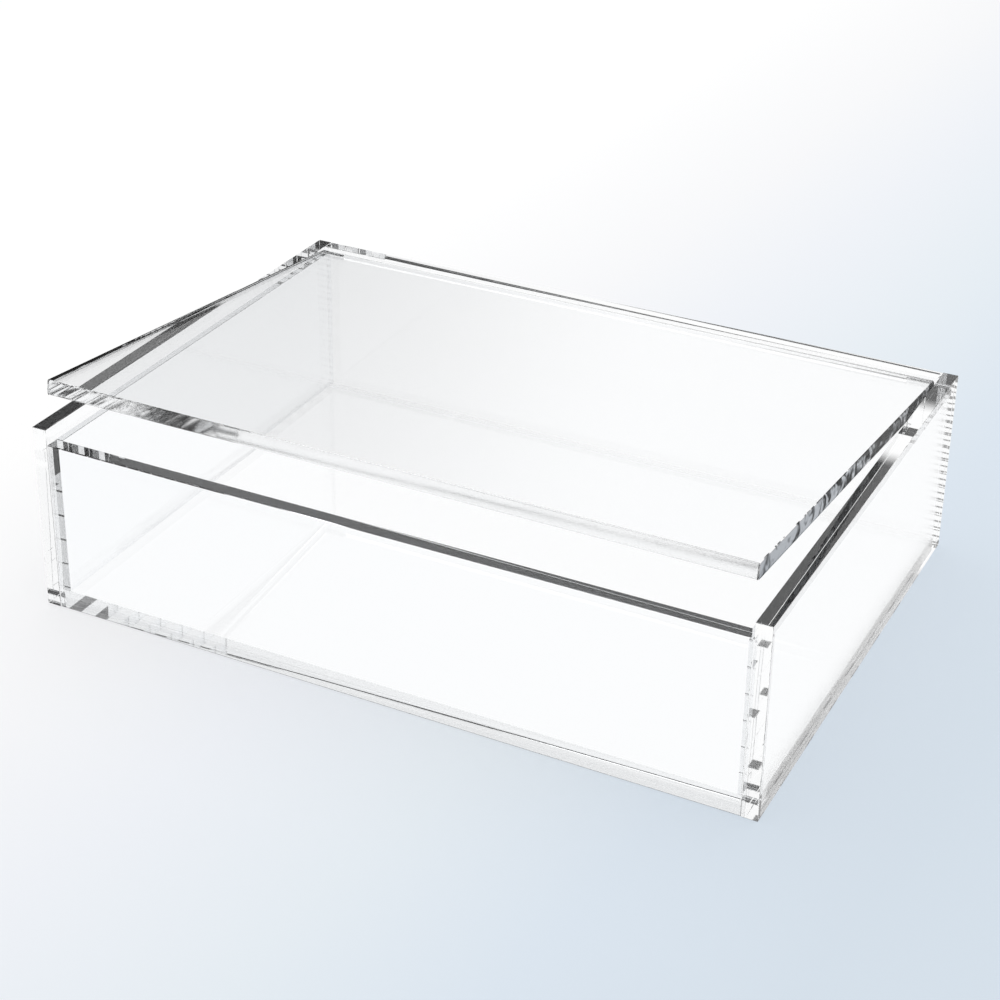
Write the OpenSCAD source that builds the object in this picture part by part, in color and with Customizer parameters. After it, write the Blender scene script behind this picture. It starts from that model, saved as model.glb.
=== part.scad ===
/* [Box] */
// Width across the two side panels
box_w = 305; // [200:1:400]
// Depth from the front face to the back face
box_d = 216; // [140:1:300]
// Height to the top of the side panels
box_h = 80; // [45:1:160]

/* [Sheet] */
// Thickness of the front, back and side panels
wall_t = 6.35; // [5:0.05:9]
// Thickness of the base panel
base_t = 6.35; // [4:0.05:10]
// Thickness of the liners that carry the lid along both sides
liner_t = 3; // [2:0.1:6]
// Width of the polished bevel on every free edge
arris = 0.5; // [0.2:0.05:1]

/* [Lid] */
// Thickness of the lid
lid_t = 6.35; // [5:0.05:8]
// Gap between the lid and each side panel
lid_side_gap = 0.75; // [0.3:0.05:2]
// How far the closed lid's front edge stays behind the front face
lid_setback = 1; // [0:0.1:5]
// Air gap between the closed lid and the ledge that it closes onto
lid_rest_gap = 0.2; // [0.1:0.05:0.5]
// Opening angle at which the lid stands
lid_ajar = 5.9; // [0:0.1:60]

/* [Hinge] */
// Gap between the lid's rounded back edge and the back panel
hinge_back_gap = 0.6; // [0.3:0.05:2]
// Diameter of the two hinge pins
pin_d = 3; // [2:0.1:4]
// Length of pin inside the lid
pin_reach = 10; // [6:0.5:20]
// Radial clearance of the pin in the lid's bore
pin_play = 0.05; // [0.02:0.01:0.1]
// Bevel on both ends of a pin
pin_bevel = 0.3; // [0.1:0.05:0.6]
// Free depth of the lid's bore beyond the pin
bore_relief = 1; // [0.5:0.1:3]
// Width of the countersink round the pin on the outer face
mouth_bevel = 0.4; // [0.1:0.05:1]

/* [Hidden] */

// Half angle of a twist drill's point
drill_half_angle = 59;
// Small overrun that lets a cut pass a face cleanly
cut = 1;
$fn = 96;

inner_w = box_w - 2 * wall_t;
inner_d = box_d - 2 * wall_t;
ledge_z = box_h - lid_t - lid_rest_gap;

lid_r = lid_t / 2;
hinge_y = box_d / 2 - wall_t - hinge_back_gap - lid_r;
hinge_z = box_h - lid_r;
lid_w = inner_w - 2 * lid_side_gap;
lid_reach = hinge_y + box_d / 2 - lid_setback;

pin_r = pin_d / 2;
pin_l = wall_t + lid_side_gap + pin_reach;
bore_r = pin_r + pin_play;
bore_depth = pin_reach + bore_relief;

acrylic = [0.84, 0.91, 0.95, 0.4];
liner_acrylic = [0.78, 0.88, 0.94, 0.4];
steel = [0.45, 0.46, 0.48];

// One corner of a sheet profile: sharp where a neighbour is welded on, else bevelled
function corner(p, along_in, along_out, e) =
    e > 0 ? [p + e * along_in, p + e * along_out] : [p];

// Rectangle a by b whose corners carry the bevels e, counted from the origin's corner round
function eased(a, b, e) = concat(
    corner([0, 0], [0, 1], [1, 0], e[0]),
    corner([a, 0], [-1, 0], [0, 1], e[1]),
    corner([a, b], [0, -1], [-1, 0], e[2]),
    corner([0, b], [1, 0], [0, -1], e[3])
);

// Extrudes a profile drawn in X and Z along Y
module along_y(length) {
    translate([0, length, 0])
        rotate([90, 0, 0])
            linear_extrude(length)
                children();
}

// Extrudes a profile drawn in Y and Z along X
module along_x(length) {
    rotate([90, 0, 90])
        linear_extrude(length)
            children();
}

// A cut sheet with bevels on the chosen edges that run along Z, Y and X
module sheet(size, z_edges, y_edges, x_edges) {
    intersection() {
        linear_extrude(size.z)
            polygon(eased(size.x, size.y, arris * z_edges));
        along_y(size.y)
            polygon(eased(size.x, size.z, arris * y_edges));
        along_x(size.x)
            polygon(eased(size.y, size.z, arris * x_edges));
    }
}

// A round bar or bore that lies along X from the origin
module round_along_x(r, length) {
    rotate([0, 90, 0])
        cylinder(r = r, h = length);
}

module base_panel() {
    color(acrylic)
        translate([-inner_w / 2, -inner_d / 2, 0])
            cube([inner_w, inner_d, base_t]);
}

module front_panel() {
    color(acrylic)
        translate([-inner_w / 2, -box_d / 2, 0])
            sheet([inner_w, wall_t, ledge_z], [0, 0, 0, 0], [0, 0, 0, 0], [1, 0, 1, 1]);
}

module back_panel() {
    color(acrylic)
        translate([-inner_w / 2, box_d / 2 - wall_t, 0])
            sheet([inner_w, wall_t, box_h], [0, 0, 0, 0], [0, 0, 0, 0], [0, 1, 1, 1]);
}

// The side panel runs the whole depth, so its end grain shows at the front and the back
module left_side_panel() {
    color(acrylic)
        difference() {
            translate([-box_w / 2, -box_d / 2, 0])
                sheet([wall_t, box_d, box_h], [1, 0, 0, 1], [1, 0, 1, 1], [1, 1, 1, 1]);
            translate([-box_w / 2 - cut, hinge_y, hinge_z])
                round_along_x(pin_r, wall_t + 2 * cut);
            translate([-box_w / 2, hinge_y, hinge_z])
                rotate([0, 90, 0])
                    cylinder(r1 = pin_r + mouth_bevel, r2 = pin_r, h = mouth_bevel);
        }
}

module right_side_panel() {
    mirror([1, 0, 0])
        left_side_panel();
}

// The liner stops at the height of the front panel, and the closed lid lies over both
module left_ledge_liner() {
    color(liner_acrylic)
        translate([-inner_w / 2, -inner_d / 2, base_t])
            sheet([liner_t, inner_d, ledge_z - base_t], [0, 0, 0, 0], [0, 0, 1, 0], [0, 0, 0, 0]);
}

module right_ledge_liner() {
    mirror([1, 0, 0])
        left_ledge_liner();
}

// Side view of the lid about its hinge axis: square in front, fully rounded at the back
module lid_profile() {
    translate([-lid_reach, -lid_r])
        polygon(eased(lid_reach, lid_t, arris * [1, 0, 0, 1]));
    circle(r = lid_r);
}

// Blind bore in the lid's left edge, with the cone that a drill leaves
module lid_bore() {
    translate([-lid_w / 2 - cut, 0, 0])
        round_along_x(bore_r, bore_depth + cut);
    translate([-lid_w / 2 + bore_depth, 0, 0])
        rotate([0, 90, 0])
            cylinder(r1 = bore_r, r2 = 0, h = bore_r / tan(drill_half_angle));
}

module lid_blank() {
    depth = lid_reach + lid_r;
    intersection() {
        translate([-lid_w / 2, 0, 0])
            along_x(lid_w)
                lid_profile();
        translate([-lid_w / 2, -lid_reach, -lid_r])
            sheet([lid_w, depth, lid_t], [1, 1, 0, 0], [1, 1, 1, 1], [0, 0, 0, 0]);
    }
}

module lid() {
    color(acrylic)
        translate([0, hinge_y, hinge_z])
            rotate([-lid_ajar, 0, 0])
                difference() {
                    lid_blank();
                    lid_bore();
                    mirror([1, 0, 0])
                        lid_bore();
                }
}

module left_hinge_pin() {
    color(steel)
        translate([-box_w / 2, hinge_y, hinge_z])
            rotate([0, 90, 0])
                rotate_extrude()
                    polygon(eased(pin_r, pin_l, pin_bevel * [0, 1, 1, 0]));
}

module right_hinge_pin() {
    mirror([1, 0, 0])
        left_hinge_pin();
}

base_panel();
front_panel();
back_panel();
left_side_panel();
right_side_panel();
left_ledge_liner();
right_ledge_liner();
lid();
left_hinge_pin();
right_hinge_pin();
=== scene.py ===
import math

import bpy
import bmesh
from mathutils import Matrix, Vector

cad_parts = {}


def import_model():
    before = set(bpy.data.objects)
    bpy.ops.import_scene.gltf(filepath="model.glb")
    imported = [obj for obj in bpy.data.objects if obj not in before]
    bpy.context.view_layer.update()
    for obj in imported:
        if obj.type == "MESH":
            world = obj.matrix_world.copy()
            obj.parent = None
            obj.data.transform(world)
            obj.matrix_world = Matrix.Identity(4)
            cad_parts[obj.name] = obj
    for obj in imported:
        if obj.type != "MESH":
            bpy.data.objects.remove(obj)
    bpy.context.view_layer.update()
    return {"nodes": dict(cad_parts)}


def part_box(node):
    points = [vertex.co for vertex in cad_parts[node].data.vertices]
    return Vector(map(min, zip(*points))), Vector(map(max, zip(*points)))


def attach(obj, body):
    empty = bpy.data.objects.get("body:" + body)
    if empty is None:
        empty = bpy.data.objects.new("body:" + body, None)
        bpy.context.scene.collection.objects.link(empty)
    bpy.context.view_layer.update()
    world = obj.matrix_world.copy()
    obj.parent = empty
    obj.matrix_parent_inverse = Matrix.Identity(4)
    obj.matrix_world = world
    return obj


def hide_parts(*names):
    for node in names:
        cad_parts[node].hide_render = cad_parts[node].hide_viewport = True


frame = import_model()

MM = 0.001

# How far a sheet reaches into the one that it is welded to, so that the joint has no air in it
WELD = 0.04 * MM
ARRIS = 0.5 * MM
# In the photo the side panels' edges look crisper than the others
SIDE_ARRIS = 0.2 * MM
LINER_ARRIS = 0.15 * MM

# Air left beside a sheet where its joint mirrors light
AIR_GAP = 0.05 * MM

# From one painted shade mark to the next on a side panel's standing edge
RUNG_PITCH = 26 * MM

# How far the lid stands open
LID_ANGLE = math.radians(5.9)

# Refractive index of acrylic
ACRYLIC_IOR = 1.49

# The lid's sheet, and its reach from the hinge axis to its front edge
LID_THICKNESS = 6.35 * MM
LID_REACH = 204.4 * MM
# How far the lid's side edges bulge out, in how many steps, and how much of the arc they turn
CROWN_RISE = 0.8 * MM
CROWN_STEPS = 14
CROWN_TURN = math.pi / 2 * 0.97
LID_FRONT_BEVEL = 1.3 * ARRIS

# The blind bore in the lid's side edge, its drill point, and how far any drill starts outside
BORE_RADIUS = 1.55 * MM
BORE_DEPTH = 11 * MM
DRILL_POINT = 0.9 * MM
OVERRUN = 0.5 * MM
# The hole through a side panel, cut a little smaller than the pin that is pressed into it
HOLE_LENGTH = 8 * MM
PRESS = 0.01 * MM
COUNTERSINK = 0.5 * MM

# The hinge axis runs along X through the middle of the pins
PIN_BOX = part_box("left_hinge_pin")
PIN_RADIUS = (PIN_BOX[1].z - PIN_BOX[0].z) / 2
SIDE_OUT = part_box("right_side_panel")[1].x
PIVOT = Vector((0, (PIN_BOX[0].y + PIN_BOX[1].y) / 2, (PIN_BOX[0].z + PIN_BOX[1].z) / 2))


def deselect():
    if bpy.context.object and bpy.context.object.mode != "OBJECT":
        bpy.ops.object.mode_set(mode="OBJECT")
    bpy.ops.object.select_all(action="DESELECT")


def make_active(piece):
    deselect()
    piece.select_set(True)
    bpy.context.view_layer.objects.active = piece


def settle(piece):
    """Moves the piece's place into its mesh, so that its object sits at the origin."""
    make_active(piece)
    bpy.ops.object.transform_apply(location=True, rotation=True, scale=True)


def block(name, low, high):
    """A block between two corners, the start of every sheet."""
    deselect()
    low = Vector(low)
    high = Vector(high)
    bpy.ops.mesh.primitive_cube_add(size=1, location=(low + high) / 2, scale=high - low)
    piece = bpy.context.object
    piece.name = name
    piece.data.name = name
    settle(piece)
    return piece


SIDE = {
    "left": (0, 0), "right": (0, 1),
    "front": (1, 0), "back": (1, 1),
    "bottom": (2, 0), "top": (2, 1),
}


def on_side(point, side, low, high):
    axis, end = SIDE[side]
    return abs(point[axis] - (low, high)[end][axis]) < 0.01 * MM


def pick(piece, kind, test):
    """Selects in edit mode the piece's edges or faces that pass the test."""
    make_active(piece)
    bpy.ops.object.mode_set(mode="EDIT")
    bpy.ops.mesh.select_mode(type=kind)
    bpy.ops.mesh.select_all(action="DESELECT")
    mesh = bmesh.from_edit_mesh(piece.data)
    for part in mesh.edges if kind == "EDGE" else mesh.faces:
        part.select = test(part)
    mesh.select_flush(True)
    bmesh.update_edit_mesh(piece.data)


def outward(side):
    """The direction in which a named side faces."""
    axis, end = SIDE[side]
    direction = Vector((0, 0, 0))
    direction[axis] = 1 if end else -1
    return direction


def ease_edges(piece, pairs, width, steps):
    """Rounds the edges where two named sides meet."""
    low = Vector(map(min, *[v.co for v in piece.data.vertices]))
    high = Vector(map(max, *[v.co for v in piece.data.vertices]))

    def between(edge):
        return any(
            all(on_side(v.co, side, low, high) for v in edge.verts for side in pair)
            for pair in pairs)

    pick(piece, "EDGE", between)
    bpy.ops.mesh.bevel(offset=width, segments=steps, affect="EDGES")
    bpy.ops.object.mode_set(mode="OBJECT")


def cut_away(piece, cutter):
    """Takes the cutter's shape out of the piece."""
    make_active(piece)
    cut = piece.modifiers.new("cut", "BOOLEAN")
    cut.operation = "DIFFERENCE"
    cut.solver = "EXACT"
    cut.object = cutter
    bpy.ops.object.modifier_apply(modifier=cut.name)
    bpy.data.objects.remove(cutter)


def finish_faces(piece, materials, choose):
    """Gives each face the material whose index choose returns."""
    piece.data.materials.clear()
    for material in materials:
        piece.data.materials.append(material)
    for face in piece.data.polygons:
        face.material_index = choose(face)
        face.use_smooth = False


class Nodes:
    """Short way to place and wire the nodes of one material or group."""

    def __init__(self, tree):
        self.tree = tree

    def add(self, kind, **settings):
        node = self.tree.nodes.new(kind)
        for key, value in settings.items():
            setattr(node, key, value)
        return node

    def join(self, output, target):
        self.tree.links.new(output, target)


def new_material(name):
    material = bpy.data.materials.new(name)
    material.use_nodes = True
    material.node_tree.nodes.clear()
    return material, Nodes(material.node_tree)


def new_group(name, inputs, outputs):
    group = bpy.data.node_groups.new(name, "ShaderNodeTree")
    for label, kind, value in inputs:
        socket = group.interface.new_socket(label, in_out="INPUT", socket_type=kind)
        if value is not None:
            socket.default_value = value
    for label, kind in outputs:
        group.interface.new_socket(label, in_out="OUTPUT", socket_type=kind)
    n = Nodes(group)
    return group, n, n.add("NodeGroupInput"), n.add("NodeGroupOutput")


FLOAT = "NodeSocketFloat"
VECTOR = "NodeSocketVector"
WHITE = (1, 1, 1, 1)


def smooth_between(n, value, low, high):
    """0 below low, 1 above high, with a soft change between them."""
    step = n.add("ShaderNodeMapRange", interpolation_type="SMOOTHSTEP")
    n.join(value, step.inputs["Value"])
    step.inputs["From Min"].default_value = low
    step.inputs["From Max"].default_value = high
    return step.outputs["Result"]


def feed(n, value, socket):
    """Sets a socket to a plain value, or wires it to what another node gives."""
    if isinstance(value, bpy.types.NodeSocket):
        n.join(value, socket)
    else:
        socket.default_value = value


def combine(n, operation, *values):
    """One sum on numbers or on what other nodes give."""
    node = n.add("ShaderNodeMath", operation=operation)
    for index, value in enumerate(values):
        feed(n, value, node.inputs[index])
    return node.outputs[0]


def stretch(n, value, low=0.0, high=1.0, to_low=0.0, to_high=1.0):
    """Spreads the range from low to high evenly over another one."""
    node = n.add("ShaderNodeMapRange")
    n.join(value, node.inputs["Value"])
    node.inputs["From Min"].default_value = low
    node.inputs["From Max"].default_value = high
    node.inputs["To Min"].default_value = to_low
    node.inputs["To Max"].default_value = to_high
    return node.outputs["Result"]


def blend(n, kind, share, one, other):
    """one where share is 0 and other where it is 1. kind is FLOAT or RGBA."""
    node = n.add("ShaderNodeMix", data_type=kind)
    n.join(share, node.inputs["Factor"])
    feed(n, one, node.inputs["A"])
    feed(n, other, node.inputs["B"])
    return node.outputs["Result"]


def show(n, shader_output):
    """Ends a material with what its surface shows."""
    out = n.add("ShaderNodeOutputMaterial")
    n.join(shader_output, out.inputs["Surface"])


def handling_marks_group():
    """Faint finger smears and fine dust that lie on a polished sheet."""
    group, n, given, out = new_group(
        "handling_marks",
        [("Position", VECTOR, None), ("Base Roughness", FLOAT, 0.0), ("Smear", FLOAT, 0.02)],
        [("Roughness", FLOAT)],
    )
    smear = n.add("ShaderNodeTexNoise")
    smear.inputs["Scale"].default_value = 26
    smear.inputs["Detail"].default_value = 5
    smear.inputs["Distortion"].default_value = 1.4
    n.join(given.outputs["Position"], smear.inputs["Vector"])
    patches = stretch(n, smear.outputs["Fac"], 0.5, 0.8)
    smeared = combine(n, "MULTIPLY_ADD", patches, given.outputs["Smear"], given.outputs["Base Roughness"])
    n.join(smeared, out.inputs["Roughness"])
    return group


def polish_ripple_group():
    """The slow waves that flame polishing leaves on an edge, as a height in metres."""
    group, n, given, out = new_group(
        "polish_ripple",
        [("Position", VECTOR, None), ("Waves per Metre", FLOAT, 120.0), ("Depth", FLOAT, 0.0001)],
        [("Height", FLOAT)],
    )
    wave = n.add("ShaderNodeTexNoise")
    wave.inputs["Detail"].default_value = 1
    n.join(given.outputs["Position"], wave.inputs["Vector"])
    n.join(given.outputs["Waves per Metre"], wave.inputs["Scale"])
    n.join(combine(n, "MULTIPLY", wave.outputs["Fac"], given.outputs["Depth"]), out.inputs["Height"])
    return group


def saw_line_group():
    """Fine parallel lines that a saw or a grinding belt leaves, square to the direction of travel."""
    group, n, given, out = new_group(
        "saw_lines",
        [("Position", VECTOR, None), ("Travel", VECTOR, (0, 1, 0)), ("Lines per Metre", FLOAT, 900.0)],
        [("Lines", FLOAT)],
    )
    along = n.add("ShaderNodeVectorMath", operation="MULTIPLY")
    n.join(given.outputs["Position"], along.inputs[0])
    n.join(given.outputs["Travel"], along.inputs[1])
    lines = n.add("ShaderNodeTexNoise")
    lines.inputs["Detail"].default_value = 2
    n.join(along.outputs["Vector"], lines.inputs["Vector"])
    n.join(given.outputs["Lines per Metre"], lines.inputs["Scale"])
    n.join(stretch(n, lines.outputs["Fac"], 0.3, 0.7), out.inputs["Lines"])
    return group


HANDLING = handling_marks_group()
RIPPLE = polish_ripple_group()
SAW = saw_line_group()


def use_group(n, group, position, **values):
    """Places a shared effect with its own values."""
    node = n.add("ShaderNodeGroup")
    node.node_tree = group
    n.join(position, node.inputs["Position"])
    for key, value in values.items():
        node.inputs[key.replace("_", " ")].default_value = value
    return node


def acrylic(name, tint, roughness, smear, ripple_scale, ripple_depth):
    """Clear sheet: handled and faintly smeared, with a slow ripple in its polish."""
    material, n = new_material(name)
    place = n.add("ShaderNodeTexCoord")
    shader = n.add("ShaderNodeBsdfPrincipled")
    shader.inputs["Base Color"].default_value = (*tint, 1)
    shader.inputs["Metallic"].default_value = 0
    shader.inputs["IOR"].default_value = ACRYLIC_IOR
    shader.inputs["Transmission Weight"].default_value = 1
    marks = use_group(n, HANDLING, place.outputs["Object"], Base_Roughness=roughness, Smear=smear)
    n.join(marks.outputs["Roughness"], shader.inputs["Roughness"])
    ripple = use_group(
        n, RIPPLE, place.outputs["Object"], Waves_per_Metre=ripple_scale, Depth=ripple_depth)
    bump = n.add("ShaderNodeBump")
    bump.inputs["Distance"].default_value = 1
    n.join(ripple.outputs["Height"], bump.inputs["Height"])
    n.join(bump.outputs["Normal"], shader.inputs["Normal"])
    show(n, shader.outputs["BSDF"])
    return material


def mirror_or_painted_shade(n, shader, tone, painted_shade_share=None):
    """Mirrors a slanting look from inside, as polished acrylic does, and shows tone to a steep one: the
    tone is painted shade, and the optional share takes the mirror away so that more of it shows.
    """
    fresnel = n.add("ShaderNodeFresnel")
    fresnel.inputs["IOR"].default_value = ACRYLIC_IOR
    mirror = fresnel.outputs[0]
    # Where the share is set there is less mirror, so more painted shade shows and the edge is rougher
    if painted_shade_share:
        mirror = combine(n, "MULTIPLY", mirror, combine(n, "SUBTRACT", 1.0, painted_shade_share))
    shader.inputs["IOR"].default_value = ACRYLIC_IOR
    n.join(blend(n, "RGBA", mirror, tone, WHITE), shader.inputs["Base Color"])
    n.join(mirror, shader.inputs["Metallic"])
    n.join(stretch(n, mirror, to_low=0.5, to_high=0.0), shader.inputs["Roughness"])


def painted_shade_rungs(n, place, apart):
    """Short marks of painted shade across the outer part of a side panel's standing edge, evenly spaced:
    there the mirror gives way to the edge's dark painted tone, and the edge is rougher.
    """
    sway = n.add("ShaderNodeTexNoise")
    sway.inputs["Scale"].default_value = 90
    n.join(place.outputs["Object"], sway.inputs["Vector"])
    swayed = combine(n, "ADD", apart.outputs["Y"], combine(n, "MULTIPLY", sway.outputs["Fac"], 5 * MM))
    turn = combine(n, "MULTIPLY", combine(n, "ADD", swayed, 0.5), 2 * math.pi / RUNG_PITCH)
    bars = smooth_between(n, combine(n, "SINE", turn), 0.3, 0.6)
    from_middle = combine(n, "ABSOLUTE", apart.outputs["X"])
    outer = smooth_between(n, from_middle, SIDE_OUT - 2.4 * MM, SIDE_OUT - 1.6 * MM)
    return combine(n, "MULTIPLY", combine(n, "MULTIPLY", bars, outer), 0.6)


def shadowed_standing_edge_material(name, dark, light, travel, windows, with_painted_rungs=False):
    """A sawn edge that the box stands on, in a dark tone of painted contact shadow with the saw's lines
    in it, clear along Y within the stretches in windows.
    """
    material, n = new_material(name)
    place = n.add("ShaderNodeTexCoord")
    shader = n.add("ShaderNodeBsdfPrincipled")
    saw = use_group(n, SAW, place.outputs["Object"], Travel=travel, Lines_per_Metre=1100)
    # Painted contact shadow: near black, with the saw's real lines a little lighter
    tone = blend(n, "RGBA", saw.outputs["Lines"], (*dark, 1), (*light, 1))
    apart = n.add("ShaderNodeSeparateXYZ")
    n.join(place.outputs["Object"], apart.inputs[0])
    painted_shade_share = painted_shade_rungs(n, place, apart) if with_painted_rungs else None
    mirror_or_painted_shade(n, shader, tone, painted_shade_share)
    if windows:
        cover = 1.0
        for begin, fade, end in windows:
            started = smooth_between(n, apart.outputs["Y"], begin, begin + fade)
            unfinished = smooth_between(n, apart.outputs["Y"], end, end - 0.4 * MM)
            cover = combine(n, "SUBTRACT", cover, combine(n, "MULTIPLY", started, unfinished))
        n.join(cover, shader.inputs["Alpha"])
    show(n, shader.outputs["BSDF"])
    return material


def lid_right_edge_material():
    """The lid's right edge: painted shade, dark and duller beside the hinge and mottled, with polished
    patches towards the front.
    """
    material, n = new_material("lid_right_edge_painted_shade")
    place = n.add("ShaderNodeTexCoord")
    apart = n.add("ShaderNodeSeparateXYZ")
    n.join(place.outputs["Object"], apart.inputs[0])
    patches = n.add("ShaderNodeTexNoise")
    patches.inputs["Scale"].default_value = 230
    patches.inputs["Detail"].default_value = 1
    patches.inputs["Distortion"].default_value = 0.6
    n.join(place.outputs["Object"], patches.inputs["Vector"])
    # Painted shade: darker towards the hinge at the rear, in noisy patches
    rear = smooth_between(n, apart.outputs["Y"], -0.09, 0.07)
    level = combine(n, "SUBTRACT", patches.outputs["Fac"], combine(n, "MULTIPLY", rear, 0.25))
    painted_shade_share = smooth_between(n, level, 0.56, 0.36)
    shader = n.add("ShaderNodeBsdfPrincipled")
    # The dark and light of the painted shade
    tone = blend(
        n, "RGBA", smooth_between(n, level, 0.25, 0.55), (0.008, 0.0085, 0.009, 1), (0.6, 0.61, 0.63, 1))
    mirror_or_painted_shade(n, shader, tone, painted_shade_share)
    show(n, shader.outputs["BSDF"])
    return material


def pin_steel_material():
    """Ground stainless steel, with fine lines round each pin."""
    material, n = new_material("ground_pin_steel")
    place = n.add("ShaderNodeTexCoord")
    shader = n.add("ShaderNodeBsdfPrincipled")
    shader.inputs["Metallic"].default_value = 1
    lines = use_group(n, SAW, place.outputs["Object"], Travel=(1, 0.05, 0.05), Lines_per_Metre=4000)
    tone = blend(n, "RGBA", lines.outputs["Lines"], (0.34, 0.345, 0.35, 1), (0.5, 0.505, 0.51, 1))
    n.join(tone, shader.inputs["Base Color"])
    n.join(stretch(n, lines.outputs["Lines"], to_low=0.22, to_high=0.38), shader.inputs["Roughness"])
    bump = n.add("ShaderNodeBump")
    bump.inputs["Distance"].default_value = 0.004 * MM
    n.join(lines.outputs["Lines"], bump.inputs["Height"])
    n.join(bump.outputs["Normal"], shader.inputs["Normal"])
    show(n, shader.outputs["BSDF"])
    return material


CLEAR = (0.985, 0.99, 0.995)
FACE = acrylic("clear_sheet_face", CLEAR, 0.0, 0.02, 14, 0.005 * MM)
EDGE = acrylic("flame_polished_edge", CLEAR, 0.0, 0.01, 60, 0.02 * MM)
# The ledge tops' grey tint is painted shade: clear acrylic tinted darker
LEDGE = acrylic("ledge_top_painted_shade", (0.62, 0.63, 0.645), 0.0, 0.05, 60, 0.02 * MM)
LID_FRONT = acrylic("buffed_lid_front", CLEAR, 0.09, 0.03, 60, 0.02 * MM)
DRILLED = acrylic("drilled_bore", CLEAR, 0.25, 0.2, 400, 0.05 * MM)
# The standing edges' dark tones are painted contact shadow under the walls; the windows are clear
# stretches
LEFT_FOOT = shadowed_standing_edge_material(
    "left_standing_edge_painted_shadow", (0.004, 0.0042, 0.0045), (0.035, 0.036, 0.038), (0.3, 1, 1),
    [(0.062, 0.01, 0.076), (0.09, 0.0004, 0.12)])
RIGHT_FOOT = shadowed_standing_edge_material(
    "right_standing_edge_painted_shadow", (0.004, 0.0042, 0.0045), (0.035, 0.036, 0.038), (0.3, 1, 1),
    [(0.075, 0.014, 0.1045)], with_painted_rungs=True)
FRONT_FOOT = shadowed_standing_edge_material(
    "front_standing_edge_painted_shadow", (0.06, 0.063, 0.066), (0.2, 0.205, 0.215), (1, 0.3, 1), [])
BACK_FOOT = shadowed_standing_edge_material(
    "back_standing_edge_painted_shadow", (0.008, 0.0085, 0.009), (0.05, 0.052, 0.055), (1, 0.3, 1),
    [(0.1022, 0.0003, 0.1066)])
LID_RIGHT = lid_right_edge_material()
STEEL = pin_steel_material()


def sheet(
        name, node, welds=(), gaps=(), free=(), arris=ARRIS,
        edge_sides=(), edge=EDGE, foot=EDGE, shape=None):
    """A welded sheet in the place of a solid.

    welds are the sides that run into a neighbour, gaps those that keep air beside them, free the
    pairs of sides whose edge is eased, and edge_sides the cut edges.
    """
    low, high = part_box(node)
    for side in welds:
        axis, end = SIDE[side]
        if end:
            high[axis] += WELD
        else:
            low[axis] -= WELD
    for side in gaps:
        axis, end = SIDE[side]
        (low, high)[end][axis] += (-1 if end else 1) * AIR_GAP
    piece = block(name, low, high)
    if free:
        ease_edges(piece, free, arris, 3)
    if shape:
        shape(piece)

    def choose(face):
        # Faces turned down get the foot material, whose dark tone is painted contact shadow
        if foot is not EDGE and face.normal.z < -0.2:
            return 2
        if any(face.normal.dot(outward(side)) > 0.9 for side in edge_sides):
            return 1
        if max(abs(c) for c in face.normal) < 0.99:
            return 1
        return 0

    finish_faces(piece, [FACE, edge, foot], choose)
    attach(piece, "box")
    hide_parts(node)


def base():
    sheet("base_sheet", "base_panel", gaps=["left", "right", "front", "back"])


def front():
    sheet(
        "front_sheet", "front_panel", welds=["left", "right"],
        free=[("front", "bottom"), ("front", "top"), ("back", "top")],
        edge_sides=["top"], foot=FRONT_FOOT)


def back():
    sheet(
        "back_sheet", "back_panel", welds=["left", "right"],
        free=[("back", "bottom"), ("front", "top"), ("back", "top")],
        edge_sides=["top"], foot=BACK_FOOT)


def pin_hole(piece, x_out, inward):
    """Drills a side panel for its pin, and countersinks the hole from outside."""
    start = x_out - OVERRUN if inward > 0 else x_out + OVERRUN - HOLE_LENGTH
    hole = drill("pin_hole", PIN_RADIUS - PRESS, HOLE_LENGTH, 0)
    hole.location = (start, PIVOT.y, PIVOT.z)
    settle(hole)
    cut_away(piece, hole)
    deselect()
    bpy.ops.mesh.primitive_cone_add(
        vertices=48, radius1=PIN_RADIUS + COUNTERSINK, radius2=PIN_RADIUS - PRESS, depth=COUNTERSINK,
        location=(x_out + inward * 0.15 * MM, PIVOT.y, PIVOT.z),
        rotation=(0, inward * math.pi / 2, 0))
    mouth = bpy.context.object
    settle(mouth)
    cut_away(piece, mouth)


def side(name, node, outer, inner, foot):
    low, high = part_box(node)
    x_out, inward = (low.x, 1) if outer == "left" else (high.x, -1)
    sheet(
        name, node, arris=SIDE_ARRIS, edge_sides=["top", "front", "back"], foot=foot,
        free=[
            (outer, "front"), (outer, "back"), (outer, "bottom"), (outer, "top"), (inner, "top"),
            ("front", "bottom"), ("front", "top"), ("back", "bottom"), ("back", "top"),
        ],
        shape=lambda piece: pin_hole(piece, x_out, inward))


def liner(name, node, outer, inner):
    sheet(
        name, node, welds=["front", "back", "bottom"], gaps=[outer],
        free=[(inner, "top")], arris=LINER_ARRIS, edge_sides=["top"], edge=LEDGE)


def crown(piece, side):
    """Rounds one side edge of the lid outwards, in thin layers that each are a little narrower."""
    end = SIDE[side][1]
    points = [v.co.x for v in piece.data.vertices]
    face_at = max(points) if end else min(points)
    heights = [v.co.z for v in piece.data.vertices]
    centre = Vector((0, 0, (max(heights) + min(heights)) / 2))
    pick(piece, "FACE", lambda face: all(abs(v.co.x - face_at) < 1e-6 for v in face.verts))
    width = 1.0
    depth = 0.0
    for step in range(1, CROWN_STEPS + 1):
        turn = step / CROWN_STEPS * CROWN_TURN
        new_width = math.cos(turn) ** 0.5
        new_depth = CROWN_RISE * math.sin(turn)
        bpy.ops.mesh.extrude_region_move(
            TRANSFORM_OT_translate={"value": outward(side) * (new_depth - depth)})
        bpy.ops.transform.resize(value=(1, 1, new_width / width), center_override=centre)
        width = new_width
        depth = new_depth
    bpy.ops.object.mode_set(mode="OBJECT")


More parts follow.
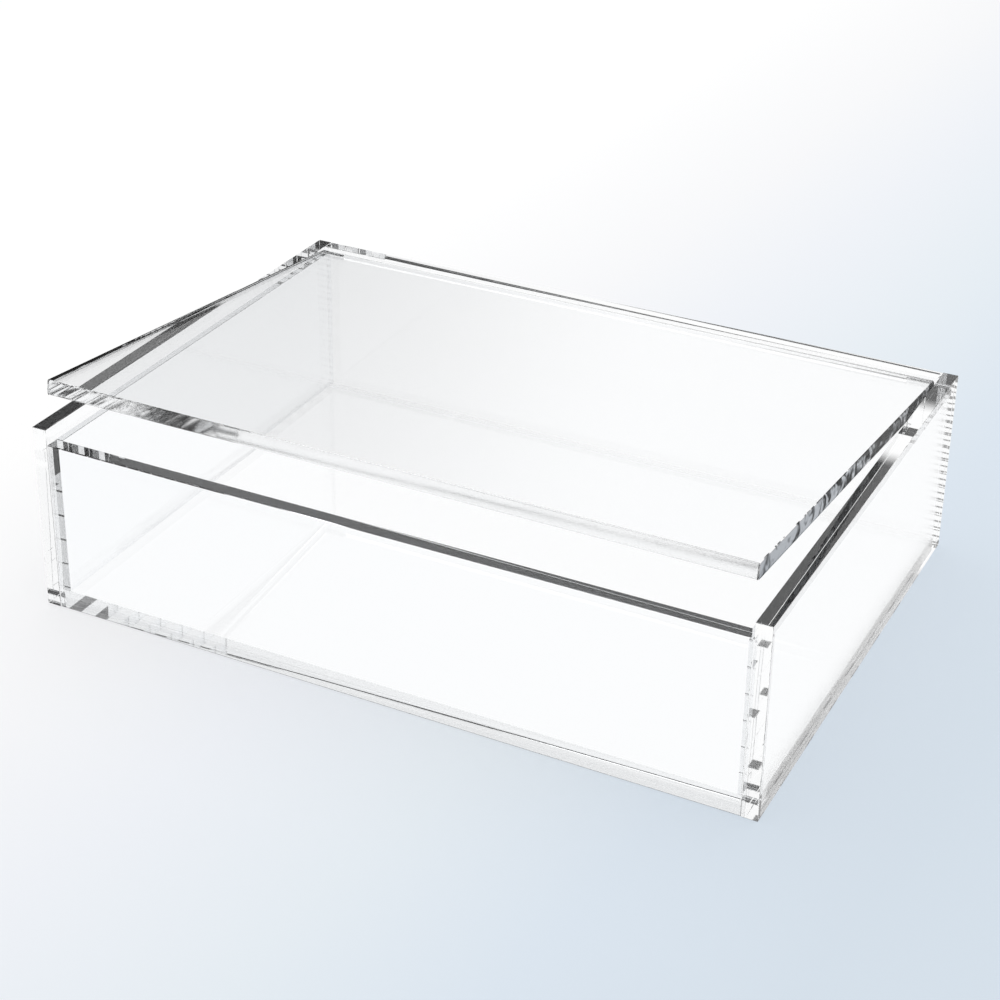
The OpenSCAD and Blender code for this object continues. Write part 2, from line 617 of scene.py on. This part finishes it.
def drill(name, radius, length, tip):
    """A drill's shape along X from the origin: a cylinder with the cone of its point."""
    deselect()
    bpy.ops.mesh.primitive_cylinder_add(
        vertices=48, radius=radius, depth=length,
        location=(length / 2, 0, 0), rotation=(0, math.pi / 2, 0))
    cutter = bpy.context.object
    cutter.name = name
    settle(cutter)
    if tip:
        pick(cutter, "FACE", lambda face: face.normal.x > 0.9)
        bpy.ops.mesh.extrude_region_move(TRANSFORM_OT_translate={"value": (tip, 0, 0)})
        bpy.ops.mesh.merge(type="CENTER")
        bpy.ops.object.mode_set(mode="OBJECT")
    return cutter


def lid_blank(half_width):
    """The flat lid sheet: back edge fully rounded, side edges crowned, front edge eased."""
    radius = LID_THICKNESS / 2
    front_y = PIVOT.y - LID_REACH
    piece = block(
        "lid_sheet",
        (-half_width, front_y, PIVOT.z - radius),
        (half_width, PIVOT.y + radius, PIVOT.z + radius),
    )
    # A hair less than the whole radius, so that no face between the two roundings shrinks to nothing
    ease_edges(piece, [("back", "top"), ("back", "bottom")], radius * 0.9999, 16)
    crown(piece, "left")
    crown(piece, "right")

    def at_front(edge):
        return all(
            v.co.y < front_y + 0.01 * MM and abs(v.co.x) < half_width + 1e-6
            for v in edge.verts)

    pick(piece, "EDGE", at_front)
    bpy.ops.mesh.bevel(offset=LID_FRONT_BEVEL, segments=3, affect="EDGES")
    bpy.ops.object.mode_set(mode="OBJECT")
    return piece


def bore_lid(piece, lid_edge):
    """Drills the blind bore for a pin into each side edge."""
    for end in (-1, 1):
        cutter = drill("lid_bore", BORE_RADIUS, BORE_DEPTH + OVERRUN, DRILL_POINT)
        cutter.location = (end * (lid_edge + OVERRUN), PIVOT.y, PIVOT.z)
        cutter.rotation_euler = (0, 0, math.pi if end > 0 else 0)
        settle(cutter)
        cut_away(piece, cutter)


def open_lid(piece):
    """Turns the lid about its pins to the angle at which it stands."""
    make_active(piece)
    bpy.context.scene.cursor.location = PIVOT
    bpy.ops.object.origin_set(type="ORIGIN_CURSOR")
    piece.rotation_euler = (-LID_ANGLE, 0, 0)
    settle(piece)


def lid():
    lid_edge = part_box("lid")[1].x
    half_width = lid_edge - CROWN_RISE
    piece = lid_blank(half_width)
    bore_lid(piece, lid_edge)
    open_lid(piece)
    side_x = half_width - 1e-6

    def choose(face):
        if abs(face.normal.z) > 0.9 and face.area > 0.01:
            return 0
        from_axis = math.hypot(face.center.y - PIVOT.y, face.center.z - PIVOT.z)
        if from_axis < BORE_RADIUS + 0.05 * MM and abs(face.center.x) < side_x:
            return 3
        if face.center.y < PIVOT.y - LID_REACH + 5 * MM:
            return 2
        # The right side edge gets the painted shade material
        if face.center.x > side_x:
            return 4
        return 1

    finish_faces(piece, [FACE, EDGE, LID_FRONT, DRILLED, LID_RIGHT], choose)
    for face in piece.data.polygons:
        if abs(face.center.x) > side_x or face.center.y > PIVOT.y + 1e-6:
            face.use_smooth = True
    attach(piece, "lid")
    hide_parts("lid")


def pins():
    """The pins keep their solids' meshes and get the ground steel."""
    for name in ("left_hinge_pin", "right_hinge_pin"):
        for spot in frame["nodes"][name].material_slots:
            spot.material = STEEL


base()
front()
back()
side("left_sheet", "left_side_panel", "left", "right", LEFT_FOOT)
side("right_sheet", "right_side_panel", "right", "left", RIGHT_FOOT)
liner("left_liner", "left_ledge_liner", "left", "right")
liner("right_liner", "right_ledge_liner", "right", "left")
lid()
pins()


def pale_sweep_material():
    """White paper that turns to a pale blue towards the right, and keeps the box's shadow."""
    material, n = new_material("pale_sweep")
    place = n.add("ShaderNodeTexCoord")
    apart = n.add("ShaderNodeSeparateXYZ")
    n.join(place.outputs["Object"], apart.inputs[0])
    slant = combine(n, "MULTIPLY_ADD", apart.outputs["Y"], -0.08, apart.outputs["X"])
    ramp = n.add("ShaderNodeValToRGB")
    stops = [
        (0.0, (1.0, 1.0, 1.0)), (0.28, (0.93, 0.935, 0.95)), (0.44, (0.863, 0.888, 0.93)),
        (0.61, (0.791, 0.847, 0.896)), (0.76, (0.716, 0.791, 0.871)), (0.92, (0.676, 0.753, 0.831)),
    ]
    elements = ramp.color_ramp.elements
    while len(elements) < len(stops):
        elements.new(0.5)
    for element, (at, colour) in zip(elements, stops):
        element.position = at
        element.color = (*colour, 1)
    n.join(stretch(n, slant, -0.25, 0.25), ramp.inputs["Fac"])
    path = n.add("ShaderNodeLightPath")
    through = combine(n, "MAXIMUM", path.outputs["Is Glossy Ray"], path.outputs["Is Transmission Ray"])
    glow = n.add("ShaderNodeEmission")
    n.join(blend(n, "RGBA", through, ramp.outputs["Color"], WHITE), glow.inputs["Color"])
    glow.inputs["Strength"].default_value = 1.0
    paper = n.add("ShaderNodeBsdfDiffuse")
    n.join(ramp.outputs["Color"], paper.inputs["Color"])
    surface = n.add("ShaderNodeMixShader")
    n.join(blend(n, "FLOAT", through, 0.2, 0.0), surface.inputs[0])
    n.join(glow.outputs[0], surface.inputs[1])
    n.join(paper.outputs[0], surface.inputs[2])
    show(n, surface.outputs[0])
    return material


def floor():
    deselect()
    bpy.ops.mesh.primitive_plane_add(size=60, location=(0, 0, -0.0003))
    piece = bpy.context.object
    piece.name = "floor"
    piece.data.materials.append(pale_sweep_material())


def world():
    """White all round for the camera, with a darker room between white cards for polished faces."""
    made = bpy.data.worlds.new("studio")
    bpy.context.scene.world = made
    made.use_nodes = True
    n = Nodes(made.node_tree)
    made.node_tree.nodes.clear()
    place = n.add("ShaderNodeTexCoord")
    apart = n.add("ShaderNodeSeparateXYZ")
    n.join(place.outputs["Generated"], apart.inputs[0])
    height = apart.outputs["Z"]
    overhead = smooth_between(n, height, 0.62, 0.8)
    low = smooth_between(n, combine(n, "MULTIPLY", height, -1), -0.2, -0.1)
    card = smooth_between(n, apart.outputs["Y"], 0.35, 0.5)
    path = n.add("ShaderNodeLightPath")
    side_card = combine(n, "MULTIPLY", card, smooth_between(n, apart.outputs["X"], -0.5, -0.33))
    back_card = blend(n, "FLOAT", path.outputs["Is Transmission Ray"], side_card, card)
    lit = combine(n, "MAXIMUM", combine(n, "MAXIMUM", overhead, low), back_card)
    room = stretch(n, lit, to_low=0.12)
    polished = combine(n, "MAXIMUM", path.outputs["Is Glossy Ray"], path.outputs["Is Transmission Ray"])
    plain = blend(n, "FLOAT", path.outputs["Is Camera Ray"], 0.8, 1.0)
    glow = n.add("ShaderNodeBackground")
    glow.inputs["Color"].default_value = WHITE
    n.join(blend(n, "FLOAT", polished, plain, room), glow.inputs["Strength"])
    out = n.add("ShaderNodeOutputWorld")
    n.join(glow.outputs[0], out.inputs["Surface"])


def camera():
    """The photograph's view, found from the box's straight edges."""
    picture = 1000
    focal = 2185.12
    centre_x = 480
    centre_y = 400
    lens = bpy.data.cameras.new("camera")
    lens.sensor_width = 36
    lens.lens = focal * lens.sensor_width / picture
    lens.shift_x = (picture / 2 - centre_x) / picture
    lens.shift_y = (centre_y - picture / 2) / picture
    lens.clip_start = 0.01
    lens.clip_end = 100
    eye = bpy.data.objects.new("camera", lens)
    bpy.context.scene.collection.objects.link(eye)
    yaw = -0.47131
    pitch = 0.46471
    roll = 0.010178
    eye.location = (0.34387, -0.69947, 0.47083)
    look = Vector((math.sin(yaw) * math.cos(pitch), math.cos(yaw) * math.cos(pitch), -math.sin(pitch)))
    right = Vector((math.cos(yaw), -math.sin(yaw), 0))
    up = right.cross(look)
    turned_right = math.cos(roll) * right + math.sin(roll) * up
    turned_up = -math.sin(roll) * right + math.cos(roll) * up
    basis = Matrix((turned_right, turned_up, -look)).transposed()
    eye.rotation_mode = "QUATERNION"
    eye.rotation_quaternion = basis.to_quaternion()
    bpy.context.scene.camera = eye


def lamps():
    lamp = bpy.data.lights.new("overhead_softbox", "AREA")
    lamp.shape = "RECTANGLE"
    lamp.size = 1.6
    lamp.size_y = 1.2
    lamp.energy = 8
    holder = bpy.data.objects.new("overhead_softbox", lamp)
    bpy.context.scene.collection.objects.link(holder)
    holder.location = (-0.3, 0.4, 1.5)


floor()
world()
camera()
lamps()

bpy.context.scene.view_settings.view_transform = "Standard"
bpy.context.scene.cycles.glossy_bounces = 24
bpy.context.scene.cycles.transmission_bounces = 24
bpy.context.scene.cycles.max_bounces = 32
